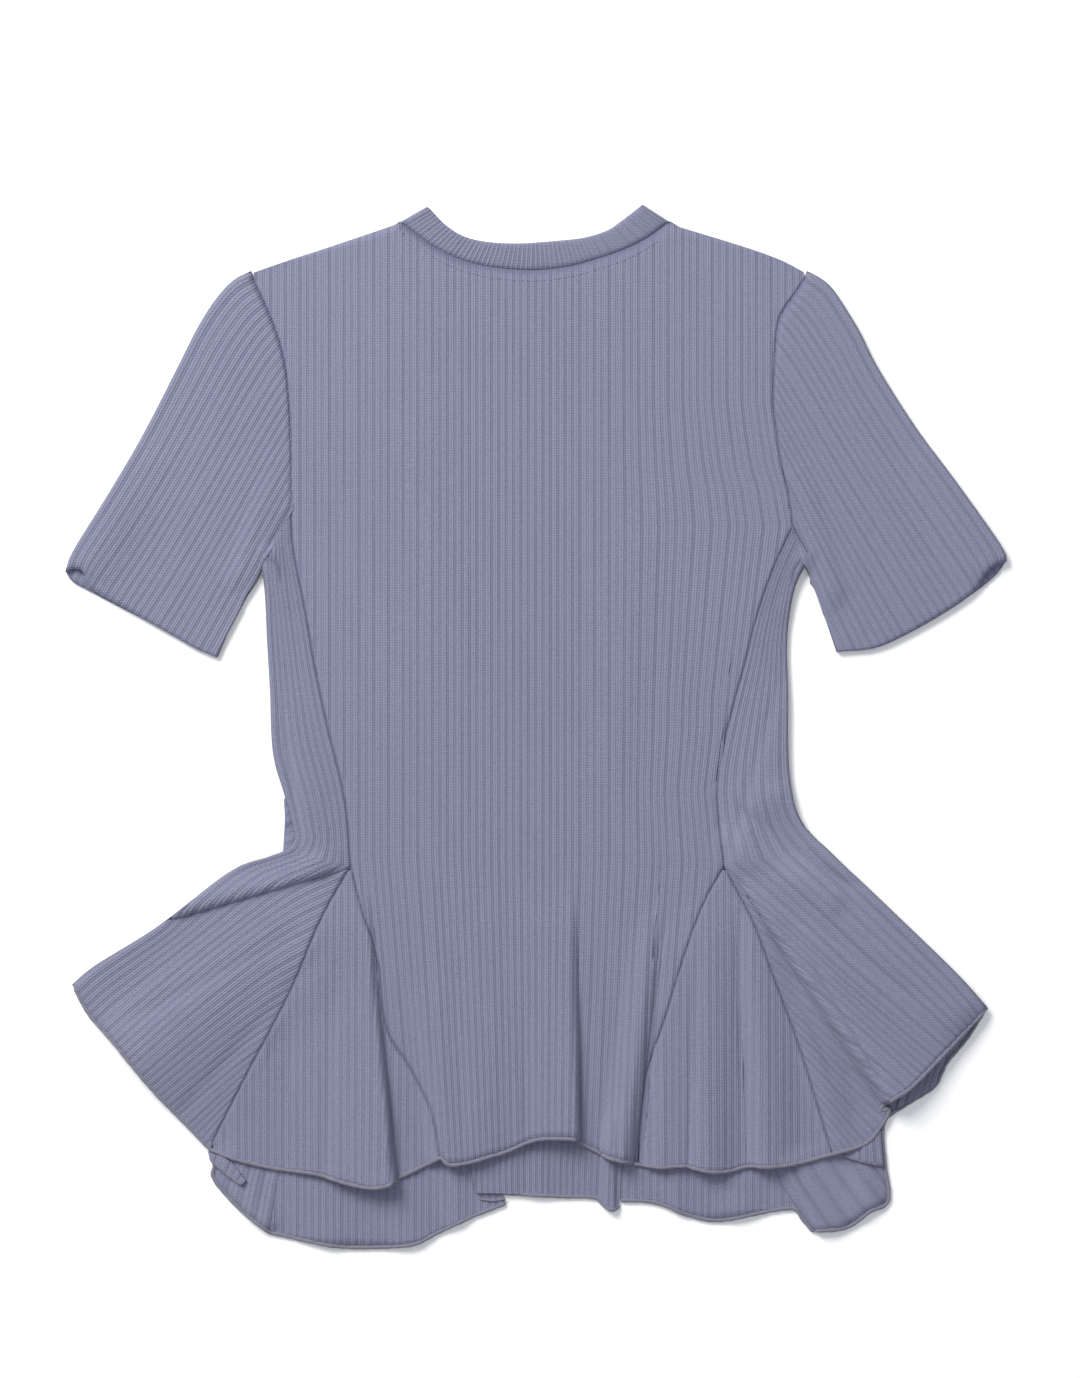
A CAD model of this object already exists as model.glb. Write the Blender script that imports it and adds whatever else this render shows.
"""Looks of a rib-knit peplum top laid flat with its back uppermost.

Every panel is a thin closed cloth shell whose columns follow its knitted ribs. Plan positions are
read from the garment in picture units, as the solids' are, and one scale turns them to metres.
"""

import logging
from dataclasses import dataclass, field
from enum import Enum
from typing import Callable

import bpy
import numpy as np
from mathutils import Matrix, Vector


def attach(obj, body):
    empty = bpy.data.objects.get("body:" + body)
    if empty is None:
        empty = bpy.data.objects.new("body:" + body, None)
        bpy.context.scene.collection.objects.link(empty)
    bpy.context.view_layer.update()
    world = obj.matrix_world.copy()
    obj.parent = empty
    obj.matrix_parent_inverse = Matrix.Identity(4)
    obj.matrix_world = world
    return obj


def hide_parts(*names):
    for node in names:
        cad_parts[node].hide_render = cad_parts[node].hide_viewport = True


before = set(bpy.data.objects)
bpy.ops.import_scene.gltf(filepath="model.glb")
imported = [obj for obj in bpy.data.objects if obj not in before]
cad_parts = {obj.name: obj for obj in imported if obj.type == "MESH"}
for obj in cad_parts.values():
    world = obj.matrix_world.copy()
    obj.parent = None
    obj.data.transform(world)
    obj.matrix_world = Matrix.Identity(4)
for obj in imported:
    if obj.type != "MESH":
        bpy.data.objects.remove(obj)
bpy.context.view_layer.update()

LOG = logging.getLogger("rib_knit_top")

BODY_LENGTH = 0.627
BODY_LENGTH_UNITS = 950.0
UNIT = BODY_LENGTH / BODY_LENGTH_UNITS
MIDDLE_X, MIDDLE_Y = 536.5, 725.45
PICTURE_WIDTH, PICTURE_HEIGHT = 1080.0, 1378.0
WALL = 0.0015
LAYER_GAP = 0.0006
RIB_PITCH = 0.00485
PITCH = RIB_PITCH / UNIT
EDGE_REACH = 0.0024
EDGE_HOLLOW = 0.0007
REACH = EDGE_REACH / UNIT
SEAM_LAP = 0.00016 / UNIT
WAIST_Y, HEM_Y = 860.0, 1155.0
FAN_MIDDLE, FAN_CLOSE = 541.0, 0.16
RIB_STOPS = (-0.5, -0.3, -0.15, 0.0, 0.15, 0.3)
Path = np.ndarray


class Layer(Enum):
    """Which of the two laid layers a piece of cloth belongs to."""

    UPPER = 1
    LOWER = 0


class Side(Enum):
    """Side of the garment as seen from above, with the direction of its edge along X."""

    LEFT = -1.0
    RIGHT = 1.0


def smooth_step(share: np.ndarray) -> np.ndarray:
    """0 below 0, 1 above 1, and a soft cubic slope between."""
    share = np.clip(share, 0.0, 1.0)
    return share * share * (3.0 - 2.0 * share)


def line(*pairs: tuple[float, float]) -> Path:
    """A straight-edged line through x, y pairs in picture units."""
    return np.array(pairs, float)


def curve(*pairs: tuple[float, float]) -> Path:
    """A smooth line through x, y pairs: a Catmull-Rom spline with ends held.

    Each stretch blends its four nearest points by the usual cubic weights.
    """
    points = np.array(pairs, float)
    padded = np.concatenate([[2 * points[0] - points[1]], points, [2 * points[-1] - points[-2]]])
    t = np.linspace(0.0, 1.0, 13)[:-1][None, :, None]
    a, b, c, d = (padded[k:len(padded) - 3 + k, None, :] for k in range(4))
    cubic = (2 * b + (c - a) * t + (2 * a - 5 * b + 4 * c - d) * t**2 + (3 * b - a - 3 * c + d) * t**3) / 2
    return np.concatenate([cubic.reshape(-1, 2), points[-1:]])


def join(*paths: Path) -> Path:
    """Paths end to end, with the doubled points between them left out."""
    return np.concatenate([paths[0]] + [path[1:] for path in paths[1:]])


def marks(path: Path) -> np.ndarray:
    """Share of the length at each point of a path."""
    steps = np.hypot(*np.diff(path, axis=0).T)
    return np.concatenate([[0.0], np.cumsum(steps)]) / steps.sum()


def along(path: Path, share: np.ndarray) -> np.ndarray:
    """Points at shares of a path's length."""
    at = marks(path)
    return np.stack([np.interp(share, at, path[:, k]) for k in (0, 1)], axis=-1)


def y_at(path: Path, x: np.ndarray) -> np.ndarray:
    """The path's y at x, for a path that runs across."""
    order = np.argsort(path[:, 0], kind="stable")
    return np.interp(x, path[order, 0], path[order, 1])


def x_at(path: Path, y: np.ndarray) -> np.ndarray:
    """The path's x at y, for a path that runs down."""
    return np.interp(y, path[:, 1], path[:, 0])


def outward(path: Path, side: float) -> np.ndarray:
    """Unit directions across a path, towards its side."""
    run = np.gradient(path, axis=0)
    run = run / np.hypot(run[:, 0], run[:, 1])[:, None]
    return np.stack([-side * run[:, 1], side * run[:, 0]], axis=-1)


def distance_to(path: Path, x: np.ndarray, y: np.ndarray) -> np.ndarray:
    """Shortest way from each point to a path, as the least distance to its straight stretches."""
    best = np.full(np.shape(x), np.inf)
    for start, end in zip(path[:-1], path[1:]):
        run = end - start
        share = ((x - start[0]) * run[0] + (y - start[1]) * run[1]) / max(run @ run, 1e-9)
        share = np.clip(share, 0.0, 1.0)
        best = np.minimum(best, np.hypot(x - start[0] - share * run[0], y - start[1] - share * run[1]))
    return best


@dataclass(frozen=True)
class Pattern:
    """Seams and edges of the top in picture units, from the top down and from left to right."""

    shoulder_left: Path = field(default_factory=lambda: curve((253, 274), (290, 261), (330, 248), (395, 226)))
    shoulder_right: Path = field(default_factory=lambda: curve((679, 228), (744, 248), (780, 261), (805, 274)))
    neck_seam: Path = field(default_factory=lambda: curve(
        (400, 222), (418, 236), (440, 251), (469, 263), (500, 269), (535, 271), (570, 267), (602, 258),
        (627, 249), (648, 238), (670, 222)))
    neck_edge: Path = field(default_factory=lambda: curve(
        (427, 207), (433, 213), (445, 225), (462, 236), (484, 242), (518, 244), (561, 241), (585, 238),
        (607, 231), (622, 221), (643, 205)))
    armhole_left: Path = field(default_factory=lambda: curve(
        (253, 279), (264, 301), (277, 333), (285, 363), (289, 400), (291, 451), (291, 508)))
    armhole_right: Path = field(default_factory=lambda: curve(
        (805, 279), (794, 295), (785, 308), (778, 323), (774.5, 352), (773.5, 403), (777, 435),
        (781.5, 467), (788, 492), (792.6, 526)))
    pit_left: Path = field(default_factory=lambda: curve((291, 508), (283, 524), (273, 540), (265, 553)))
    pit_right: Path = field(default_factory=lambda: curve((792.6, 526), (798, 536), (803, 545), (807, 553)))
    princess_left: Path = field(default_factory=lambda: curve(
        (291, 508), (294, 550), (306, 612), (315, 664), (327, 722), (345, 798), (351, 866)))
    princess_right: Path = field(default_factory=lambda: curve(
        (792.6, 526), (773, 569), (757, 615), (747, 655), (727, 731), (717, 790), (724, 866)))
    godet_left_side: Path = field(default_factory=lambda: curve(
        (351, 866), (321.5, 919), (290, 992), (248, 1072), (213, 1141)))
    godet_left_middle: Path = field(default_factory=lambda: curve(
        (351, 866), (362, 909), (378, 962), (384, 1011), (393, 1040), (407, 1062), (423, 1090),
        (434, 1116), (441, 1156)))
    godet_right_middle: Path = field(default_factory=lambda: curve(
        (724, 866), (703, 904), (682, 961), (664, 1022), (646, 1082), (640, 1160)))
    godet_right_side: Path = field(default_factory=lambda: curve(
        (724, 866), (751, 919), (772, 974), (801, 1051), (832, 1152)))
    hem_left_godet: Path = field(default_factory=lambda: curve(
        (211, 1149), (241, 1160), (277, 1168), (316, 1173), (350, 1182), (379, 1185), (410, 1172),
        (441, 1156)))
    hem_middle: Path = field(default_factory=lambda: curve(
        (441, 1156), (450, 1163), (468, 1161), (490, 1155), (507, 1150), (533, 1139), (552, 1136.5),
        (574, 1138), (594, 1149), (612, 1157), (640, 1164)))
    hem_right_godet: Path = field(default_factory=lambda: curve(
        (640, 1164), (661, 1166), (685, 1165), (709, 1170), (729, 1170), (750, 1165), (773, 1165),
        (803, 1161), (832, 1153)))
    edge_left: Path = field(default_factory=lambda: curve(
        (265, 554), (269, 596), (271, 640), (274, 690), (277, 752), (288, 792), (296, 822), (299, 838),
        (294, 849), (284, 855)))
    edge_right: Path = field(default_factory=lambda: curve(
        (806, 554), (790, 590), (783, 640), (784, 690), (784, 752), (788, 796), (798, 823), (812, 840),
        (823, 850)))
    flap_edge_left: Path = field(default_factory=lambda: curve(
        (284, 855), (267, 861), (240, 870), (206, 894), (156, 932), (98, 968), (75, 987)))
    flap_edge_right: Path = field(default_factory=lambda: curve(
        (823, 850), (858, 884), (908, 932), (953, 976), (984, 1010)))
    flap_rib_left: Path = field(default_factory=lambda: curve(
        (351, 866), (292, 894), (220, 946), (160, 996), (112, 1038.6)))
    flap_rib_right: Path = field(default_factory=lambda: curve(
        (724, 866), (778, 912), (836, 966), (890, 1012), (941, 1054)))
    flap_hem_left: Path = field(default_factory=lambda: curve(
        (75, 987), (90, 1014), (116, 1043), (155, 1090), (190, 1127), (211, 1149)))
    flap_hem_right: Path = field(default_factory=lambda: curve(
        (984, 1010), (966, 1028), (941, 1054), (909, 1085), (888, 1100), (881, 1122), (866, 1142),
        (832, 1153)))
    front_neck_seam: Path = field(default_factory=lambda: curve(
        (400, 222), (418, 262), (448, 301), (490, 327), (535, 335), (580, 327), (622, 301), (652, 262),
        (670, 222)))
    front_neck_edge: Path = field(default_factory=lambda: curve(
        (427, 207), (444, 245), (469, 277), (500, 297), (535, 304), (570, 297), (601, 277), (626, 245),
        (643, 205)))
    front_side_seam_left: Path = field(default_factory=lambda: curve(
        (351, 866), (330, 960), (305, 1060), (281, 1166), (270, 1231)))
    front_side_seam_right: Path = field(default_factory=lambda: curve(
        (724, 866), (746, 960), (764, 1080), (775, 1168), (792, 1201), (812, 1230)))
    front_middle_seam_left: Path = field(default_factory=lambda: curve(
        (351, 866), (385, 960), (422, 1060), (462, 1130), (476, 1192)))
    front_tuck_left: Path = field(default_factory=lambda: curve(
        (351, 866), (385, 960), (422, 1060), (478, 1140), (506, 1203)))
    front_middle_seam_right: Path = field(default_factory=lambda: curve(
        (724, 866), (702, 960), (664, 1060), (626, 1140), (620, 1206)))
    front_hem_side_left: Path = field(default_factory=lambda: curve(
        (77, 987), (140, 1060), (209, 1150), (214, 1178), (240, 1208), (270, 1232)))
    front_hem_side_right: Path = field(default_factory=lambda: curve(
        (984, 1011), (965, 1040), (948, 1060), (941, 1073), (933, 1087), (908, 1103), (884, 1122),
        (884, 1160), (888, 1200), (869, 1211), (846, 1227), (812, 1230)))
    front_hem_godet_left: Path = field(default_factory=lambda: curve(
        (270, 1232), (326, 1244), (360, 1247), (411, 1244), (438, 1232), (470, 1217), (506, 1203)))
    front_hem_middle: Path = field(default_factory=lambda: curve(
        (476, 1192), (507, 1193), (562, 1196), (594, 1197), (604, 1205), (612, 1209), (620, 1206)))
    front_hem_godet_right: Path = field(default_factory=lambda: curve(
        (620, 1200), (648, 1201), (668, 1206), (686, 1214), (717, 1220), (757, 1213), (792, 1208),
        (802, 1218), (812, 1230)))
    sleeve_top_left: Path = field(default_factory=lambda: curve(
        (253, 275), (240, 281), (229, 290), (214, 309), (199, 334), (182, 368), (145, 440), (110, 500), (78, 552),
        (69.5, 573)))
    sleeve_under_left: Path = field(default_factory=lambda: curve((261, 551), (250, 574), (232, 615), (214, 656)))
    cuff_left: Path = field(default_factory=lambda: curve(
        (69.5, 573), (78, 569), (86, 573), (88, 583), (99, 594), (133, 613), (174, 636), (195, 648), (214, 656)))
    cuff_under_left: Path = field(default_factory=lambda: curve(
        (69.5, 573), (74, 582), (88, 590), (120, 607), (174, 635), (195, 647), (214, 656)))
    sleeve_top_right: Path = field(default_factory=lambda: curve(
        (805, 275), (817, 281), (828, 290), (841, 309), (856, 334), (873, 368), (911, 428), (955, 488), (997, 548),
        (1002, 562)))
    sleeve_under_right: Path = field(default_factory=lambda: curve((811, 551), (818, 578), (828, 615), (840, 651)))
    cuff_right: Path = field(default_factory=lambda: curve(
        (1002, 562), (992, 566), (983, 575), (974, 591), (952, 608), (911, 632), (875, 648), (840, 651)))
    cuff_under_right: Path = field(default_factory=lambda: curve(
        (1002, 562), (996, 573), (984, 585), (968, 597), (952, 607), (911, 631), (875, 647), (840, 651)))
    pit_crease_left: Path = field(default_factory=lambda: curve(
        (280, 530), (271, 537), (265, 545), (265, 554), (273, 561), (279, 568), (281, 580)))
    pit_crease_right: Path = field(default_factory=lambda: curve(
        (797, 534), (804, 541), (808, 549), (806, 557), (799, 563), (794, 571), (792, 582)))


CUT = Pattern()
TOPSTITCH = CUT.neck_seam[6:-6] + (0.0, 10.5)


@dataclass(frozen=True)
class Fold:
    """A ridge in the laid cloth: its line, its reach to the left and right, and its rise in mm.

    A trough has a negative rise, and a steep step has a short reach on one side.
    """

    x0: float
    y0: float
    x1: float
    y1: float
    left: float
    right: float
    rise0: float
    rise1: float

    def height(self, x: np.ndarray, y: np.ndarray) -> np.ndarray:
        """Rise in metres: a soft profile across the line, grown along it and eased at its ends."""
        run_x, run_y = self.x1 - self.x0, self.y1 - self.y0
        length = np.hypot(run_x, run_y)
        share = ((x - self.x0) * run_x + (y - self.y0) * run_y) / length**2
        across = ((x - self.x0) * run_y - (y - self.y0) * run_x) / length
        reach = np.where(across < 0.0, self.left, self.right)
        profile = 1.0 - smooth_step(np.abs(across) / (1.6 * reach))
        ends = smooth_step((share + 0.12) / 0.24) * (1.0 - smooth_step((share - 1.04) / 0.16))
        grown = self.rise0 + (self.rise1 - self.rise0) * np.clip(share, 0.0, 1.0)
        return 0.001 * grown * profile * ends


@dataclass(frozen=True)
class FoldOver:
    """A sharp fold whose upper edge laps over the cloth beside it, along a line.

    The cloth on both sides is drawn towards the line, so that it doubles back in an S. The lap is
    in picture units and the raised side is to the left (-1) or right (1) of the line.
    """

    x0: float
    y0: float
    x1: float
    y1: float
    lap0: float
    lap1: float
    low_side: float

    def strength(self, x: np.ndarray, y: np.ndarray) -> tuple[np.ndarray, np.ndarray]:
        """Lap at each point, faded at the line's ends, and the way across to the line."""
        run_x, run_y = self.x1 - self.x0, self.y1 - self.y0
        length = np.hypot(run_x, run_y)
        share = ((x - self.x0) * run_x + (y - self.y0) * run_y) / length**2
        across = ((x - self.x0) * run_y - (y - self.y0) * run_x) / length
        ends = smooth_step(share / 0.5) * (1.0 - smooth_step((share - 1.1) / 0.1))
        return (self.lap0 + (self.lap1 - self.lap0) * np.clip(share, 0.0, 1.0)) * ends, across

    def shift(self, x: np.ndarray, y: np.ndarray) -> tuple[np.ndarray, np.ndarray]:
        """How far each point is drawn: towards the line, by a step that fades away from it."""
        run_x, run_y = self.x1 - self.x0, self.y1 - self.y0
        length = np.hypot(run_x, run_y)
        lap, across = self.strength(x, y)
        drawn = -lap * np.tanh(across / 1.3) * np.exp(-((across / 13.0) ** 2))
        return drawn * run_y / length, -drawn * run_x / length

    def crevice(self, x: np.ndarray, y: np.ndarray) -> np.ndarray:
        """How deep in the fold's foot each point is: a bell on the low side of the line."""
        lap, across = self.strength(x, y)
        foot = self.low_side * across
        return np.clip(lap / 2.4, 0.0, 1.0) * np.exp(-(((foot - 1.8) / 4.6) ** 2))


@dataclass(frozen=True)
class LaidCloth:
    """Levels of the two layers over the table, in metres, from their folds."""

    upper_folds: tuple[Fold, ...] = (
        Fold(334, 866, 180, 909, 15, 4, 3.6, 3.6),
        Fold(322, 905, 150, 1052, 46, 60, 3.0, 7.0),
        Fold(364, 900, 388, 1182, 66, 4.5, 2.0, 10.0),
        Fold(428, 985, 446, 1158, 16, 34, 0.8, 4.5),
        Fold(500, 900, 486, 1156, 40, 44, 1.0, 5.0),
        Fold(570, 905, 571, 1138, 44, 4.5, 2.0, 9.5),
        Fold(652, 920, 620, 1158, 15, 9, 1.5, 8.0),
        Fold(676, 930, 660, 1164, 12, 20, 1.0, 4.0),
        Fold(712, 905, 706, 1168, 26, 22, 2.0, 6.5),
        Fold(752, 905, 764, 1165, 12, 26, 2.0, 7.0),
        Fold(792, 960, 838, 1140, 14, 16, 1.0, 3.5),
        Fold(742, 876, 890, 1094, 4, 84, 3.0, 12.0),
        Fold(800, 862, 950, 1006, 30, 36, 3.0, 6.0),
        Fold(724, 836, 826, 896, 15, 13, 2.2, 1.8),
        Fold(772, 786, 852, 858, 15, 13, 2.4, 2.4),
        Fold(782, 690, 742, 850, 20, 26, 1.0, 3.0),
        Fold(292, 690, 316, 850, 22, 22, 0.5, 2.5),
        Fold(240, 586, 276, 470, 12, 14, 2.5, 0.5),
        Fold(838, 600, 800, 480, 12, 14, 2.5, 0.5),
        Fold(268, 548, 288, 600, 9, 10, 2.6, 0.8),
        Fold(806, 550, 784, 610, 9, 10, 2.4, 0.8),
        Fold(150, 450, 92, 560, 26, 26, 0.6, 2.6),
        Fold(925, 450, 985, 560, 26, 26, 0.6, 2.6),
    )
    lower_folds: tuple[Fold, ...] = (
        Fold(224, 1150, 262, 1222, 14, 14, 1.5, 3.0),
        Fold(320, 1180, 330, 1240, 26, 22, 0.8, 2.2),
        Fold(392, 1170, 410, 1240, 20, 22, 0.8, 2.4),
        Fold(452, 1170, 458, 1222, 16, 12, 1.0, 2.0),
        Fold(532, 1140, 536, 1194, 16, 20, 0.8, 1.8),
        Fold(610, 1120, 612, 1208, 10, 4, 2.0, 3.0),
        Fold(672, 1170, 676, 1214, 14, 12, 0.8, 1.8),
        Fold(738, 1170, 744, 1218, 18, 16, 0.8, 2.0),
        Fold(783, 1160, 820, 1230, 4, 34, 2.4, 3.4),
        Fold(862, 1120, 866, 1208, 14, 14, 1.0, 2.5),
        Fold(420, 420, 452, 640, 26, 30, 0.4, 0.5),
        Fold(640, 520, 610, 760, 28, 24, 0.4, 0.6),
        Fold(330, 900, 250, 1080, 22, 26, 0.5, 0.7),
        Fold(800, 930, 850, 1050, 24, 22, 0.5, 0.7),
    )
    creases: tuple[Fold, ...] = (
        Fold(372, 950, 394, 1180, 3, 4, -0.6, -1.6),
        Fold(404, 1010, 424, 1168, 5, 5, -0.3, -1.0),
        Fold(597, 980, 598, 1150, 6, 5, -0.3, -0.8),
        Fold(664, 920, 634, 1150, 3, 3, -1.0, -2.2),
        Fold(654, 1043, 642, 1150, 2.5, 3, -0.8, -1.8),
        Fold(525, 1010, 524, 1146, 5, 8, -0.4, -1.2),
        Fold(455, 960, 462, 1160, 12, 14, -0.5, -1.2),
        Fold(300, 960, 262, 1150, 12, 14, -0.5, -1.2),
        Fold(333, 990, 326, 1170, 9, 7, -0.4, -1.4),
        Fold(692, 975, 688, 1164, 4, 6, -0.5, -1.6),
        Fold(736, 940, 744, 1166, 3, 4, -0.7, -1.8),
        Fold(816, 970, 876, 1070, 2.5, 3, -0.8, -1.6),
        Fold(760, 905, 824, 1060, 5, 6, -0.5, -1.0),
        Fold(738, 808, 840, 880, 7, 6, -2.2, -2.4),
        Fold(744, 880, 900, 985, 7, 9, -0.6, -0.9),
        Fold(300, 930, 150, 1010, 9, 8, -0.6, -0.9),
        Fold(324, 950, 190, 1100, 8, 9, -0.5, -0.9),
        Fold(420, 700, 412, 900, 26, 22, -0.3, -0.5),
        Fold(640, 640, 648, 880, 22, 26, -0.3, -0.5),
        Fold(300, 300, 330, 470, 16, 20, -0.3, -0.4),
        Fold(768, 320, 744, 520, 16, 20, -0.3, -0.4),
        Fold(150, 600, 215, 420, 9, 12, -0.6, -0.2),
        Fold(190, 636, 240, 500, 8, 10, -0.8, -0.4),
        Fold(222, 640, 262, 530, 4, 5, -0.7, -0.5),
        Fold(905, 610, 845, 400, 12, 9, -0.6, -0.2),
        Fold(858, 640, 822, 520, 8, 9, -0.9, -0.4),
        Fold(281, 690, 300, 850, 5, 5, -0.7, -0.9),
        Fold(776, 690, 730, 850, 6, 7, -0.7, -0.9),
    )

    fold_overs: tuple[FoldOver, ...] = (
        FoldOver(732, 868, 880, 1102, 2.6, 6.4, -1.0),
        FoldOver(346, 869, 192, 912, 0.8, 2.4, 1.0),
        FoldOver(374, 955, 394, 1180, 0.8, 3.2, 1.0),
        FoldOver(577, 950, 577, 1142, 0.8, 3.0, 1.0),
        FoldOver(664, 920, 634, 1160, 0.6, 2.2, 1.0),
    )

    def lower(self, x: np.ndarray, y: np.ndarray) -> np.ndarray:
        """Underside of the lower layer: flat on the table but for its hem's small folds."""
        return sum(fold.height(x, y) for fold in self.lower_folds)

    def upper(self, x: np.ndarray, y: np.ndarray) -> np.ndarray:
        """Underside of the upper layer: over the lower one, with its own folds and creases."""
        own = sum(fold.height(x, y) for fold in self.upper_folds)
        own = np.maximum(own + sum(fold.height(x, y) for fold in self.creases), 0.0)
        return WALL + LAYER_GAP + self.lower(x, y) + own

    def drawn(self, x: np.ndarray, y: np.ndarray, layer: Layer) -> tuple[np.ndarray, np.ndarray]:
        """Plan points after the fold-overs have drawn the upper layer together."""
        if layer is Layer.LOWER:
            return x, y
        shifts = [fold.shift(x, y) for fold in self.fold_overs]
        return x + sum(shift[0] for shift in shifts), y + sum(shift[1] for shift in shifts)

    def crevice(self, x: np.ndarray, y: np.ndarray) -> np.ndarray:
        """How deep in the foot of any fold-over each point is."""
        return np.max([fold.crevice(x, y) for fold in self.fold_overs], axis=0)

    def level(self, layer: Layer) -> Callable[[np.ndarray, np.ndarray], np.ndarray]:
        """The underside's function for a layer."""
        return self.upper if layer is Layer.UPPER else self.lower

    def wall(self, x: np.ndarray, y: np.ndarray, layer: Layer) -> np.ndarray:
        """Upright thickness: the wall over the cosine of the slope, so that the cloth keeps its own."""
        step, level = 1.5, self.level(layer)
        slope_x = (level(x + step, y) - level(x - step, y)) / (2.0 * step * UNIT)
        slope_y = (level(x, y + step) - level(x, y - step)) / (2.0 * step * UNIT)
        return WALL * np.clip(np.sqrt(1.0 + slope_x**2 + slope_y**2), 1.0, 1.7)


CLOTH = LaidCloth()


@dataclass(frozen=True)
class RibProfile:
    """Form of the knitted ribs: broad rounded ribs parted by narrow grooves of uneven depth."""

    depth: float = 0.0005
    groove: float = 0.15
    uneven: float = 0.62
    even_from: float = 428.0
    even_to: float = 566.0

    def relief(self, phase: np.ndarray, x: np.ndarray, y: np.ndarray) -> tuple[np.ndarray, np.ndarray]:
        """Height over the wall and how deep in a groove each point is, for a phase that counts ribs.

        A groove is a bell round each whole phase. Every other one is shallower, but for the middle
        stretch, and each wanders a little in depth down its length.
        """
        nearest = np.round(phase)
        bell = np.exp(-(((phase - nearest) / self.groove) ** 2))
        even = smooth_step((x - self.even_from) / 24.0) * (1.0 - smooth_step((x - self.even_to) / 24.0))
        shallow = self.uneven * (0.5 + 0.5 * np.cos(np.pi * nearest)) * (1.0 - 0.8 * even)
        wander = 0.16 * np.sin(y / 61.0 + nearest * 2.3) + 0.1 * np.sin(y / 23.0 + nearest * 5.1)
        sunk = bell * np.clip(0.92 - shallow + wander + 0.1 * np.sin(nearest * 1.7), 0.2, 1.0)
        crown = 0.1 * np.cos(2.0 * np.pi * (phase - 0.5))
        return self.depth * (1.0 + crown - 0.95 * sunk), sunk


BODY_RIB = RibProfile(uneven=0.52)
SIDE_RIB = RibProfile(uneven=0.3)
GUSSET_RIB = RibProfile(depth=0.00052, uneven=0.3, even_from=280.0, even_to=330.0)
SLEEVE_RIB = RibProfile(depth=0.00052, uneven=0.3, even_from=205.0, even_to=330.0)
BAND_RIB = RibProfile(depth=0.00045, groove=0.19, uneven=0.4)


@dataclass(frozen=True)
class Seam:
    """A sewn line: its path, how strongly the cloth dips to it and how wide the dip is in picture units."""

    path: Path
    depth: float = 1.0
    width: float = 1.5


@dataclass
class Sheet:
    """A stretch of cloth as grids: plan points, inner and outer points, and the wearing of its look."""

    inner: np.ndarray
    outer: np.ndarray
    cloth_uv: np.ndarray
    shade: np.ndarray


def place(x: np.ndarray, y: np.ndarray, z: np.ndarray) -> np.ndarray:
    """Picture units and heights, as points in metres."""
    return np.stack([(x - MIDDLE_X) * UNIT, (MIDDLE_Y - y) * UNIT, z + 0.0 * x], axis=-1)


def lay(x: np.ndarray, y: np.ndarray, layer: Layer, phase: np.ndarray, rib: RibProfile,
        seams: tuple[Seam, ...] = (), lift: np.ndarray | float = 0.0, raised: np.ndarray | float = 0.0) -> Sheet:
    """Cloth laid on its level, with ribs on its shown side and a dip along each seam.

    Args:
        x, y: plan points of a grid in picture units.
        layer: which layer's level it lies on.
        phase: rib count at each point.
        rib: form of the ribs.
        seams: lines where the cloth turns down into a seam.
        lift: further height of the shown side.
        raised: further height of the whole cloth, where it lies over a tuck.

    Returns:
        The sheet, whose outer side is the one that shows from above in the upper layer.
    """
    base = CLOTH.level(layer)(x, y) + raised
    relief, sunk = rib.relief(phase, x, y)
    dip = np.zeros(x.shape)
    pucker = np.zeros(x.shape)
    for seam in seams:
        near = distance_to(seam.path, x, y)
        dip = np.maximum(dip, seam.depth * np.exp(-((near / seam.width) ** 2)))
        pucker = pucker + seam.depth * np.exp(-((near / 7.0) ** 2)) * np.sin(y / 4.1 + x / 5.3)
    thick = WALL + relief * (1.0 - 0.6 * dip) - 0.0006 * dip + 0.00009 * pucker + lift
    shade = np.maximum(0.5 * sunk, 0.8 * dip)
    uv = np.stack([phase * RIB_PITCH, -y * UNIT + 0.0 * x], axis=-1)
    if layer is Layer.LOWER:
        return Sheet(place(x, y, base + CLOTH.wall(x, y, layer) + relief), place(x, y, base), uv, shade)
    shade = np.maximum(shade, 0.85 * CLOTH.crevice(x, y))
    under = place(*CLOTH.drawn(x, y, layer), base)
    return Sheet(under, under + thick[..., None] * facing(under), uv, shade)


def facing(points: np.ndarray) -> np.ndarray:
    """Unit normals of a grid, turned upwards where the grid as a whole lies: the cross product of its runs.

    The vectors are held to a slope at the grid's own edges, so that a wall never leans out over them.
    """
    normal = np.cross(np.gradient(points, axis=1), np.gradient(points, axis=0))
    normal = normal * np.sign(np.median(normal[..., 2]))
    return normal / np.maximum(np.linalg.norm(normal, axis=-1, keepdims=True), 1e-12)


def tuck(top: Path, bottom: Path, ribs: int, height: float, rise: float) -> Sheet:
    """A small fold of cloth that shows between two lines, as a grid between them.

    Args:
        top: the line where it comes out from under the cloth above.
        bottom: its own edge.
        ribs: how many ribs cross it.
        height: height of its underside at the top line.
        rise: how much higher it lies at its own edge.

    Returns:
        The sheet.
    """
    phase = rib_shares(ribs)
    share = phase / ribs
    down = np.linspace(0.0, 1.0, 9)[:, None, None]
    shape = along(top, share)[None] * (1.0 - down) + along(bottom, share)[None] * down
    x, y = shape[..., 0], shape[..., 1]
    base = CLOTH.lower(x, y) + height + rise * down[..., 0]
    relief, sunk = BODY_RIB.relief(np.broadcast_to(phase, x.shape), x, y)
    uv = np.stack([np.broadcast_to(phase, x.shape) * RIB_PITCH, -y * UNIT], axis=-1)
    return Sheet(place(x, y, base), place(x, y, base + 0.8 * WALL + relief), uv, 0.6 * sunk)


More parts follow.
